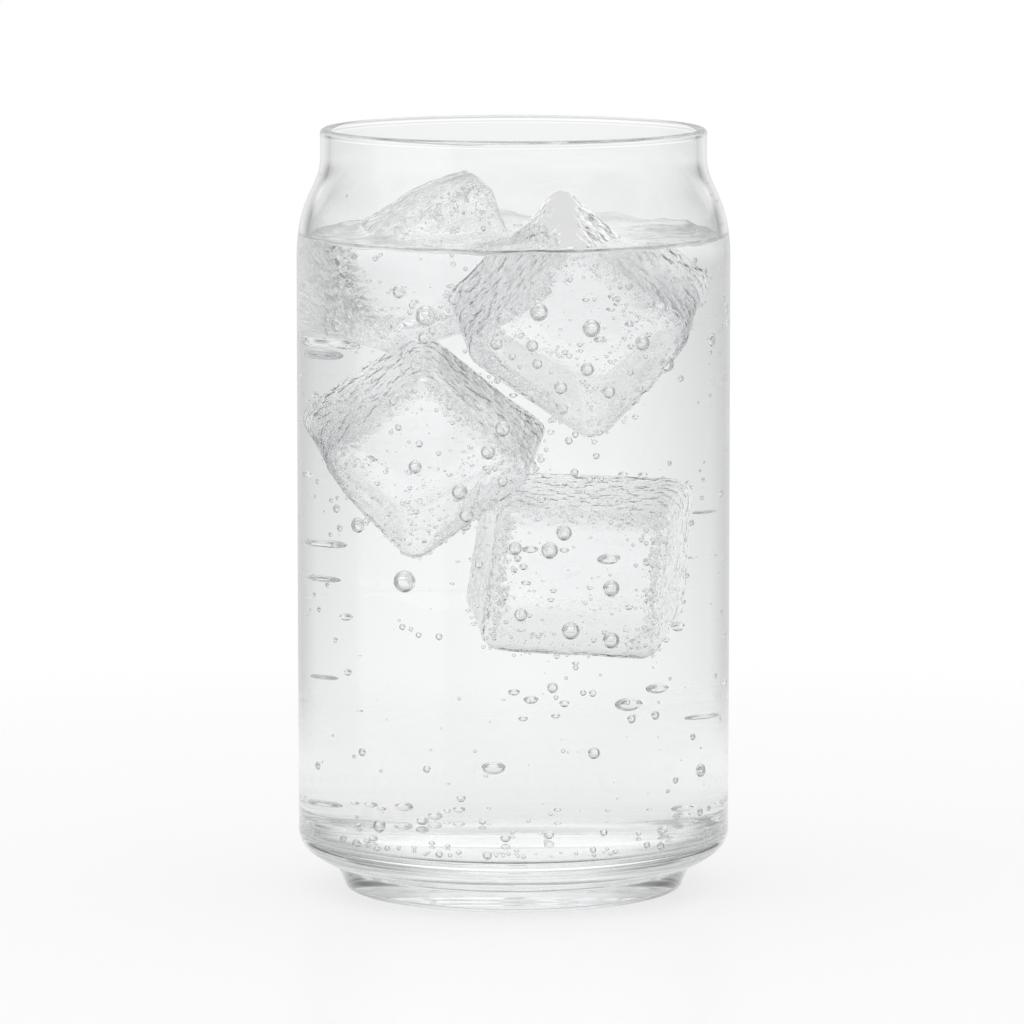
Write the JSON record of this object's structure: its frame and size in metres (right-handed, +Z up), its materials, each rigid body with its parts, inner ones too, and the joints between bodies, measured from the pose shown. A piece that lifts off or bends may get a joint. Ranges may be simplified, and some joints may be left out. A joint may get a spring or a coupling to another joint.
{
  "type": "can shaped drinking glass",
  "caption": "Can shaped drinking glass with a necked rim, a rounded shoulder and a stepped foot, filled with sparkling water and clear ice cubes.",
  "frame": {"origin": "centre of the foot ring, on the surface that the glass stands on", "axes": "+Z up along the axis of the glass; +X to the right as the picture shows it, -Y towards the camera"},
  "size_m": [0.076, 0.076, 0.134],
  "materials": {
    "clear_glass": "clear polished soda-lime glass",
    "water": "clear sparkling water with gas bubbles",
    "ice": "clear wet ice with a frosted trace along its edges"
  },
  "bodies": {
    "root": {"glass": "clear_glass", "sparkling_water": "water", "ice_cube_1": "ice", "ice_cube_2": "ice", "ice_cube_3": "ice", "ice_cube_4": "ice"}
  },
  "joints": []
}
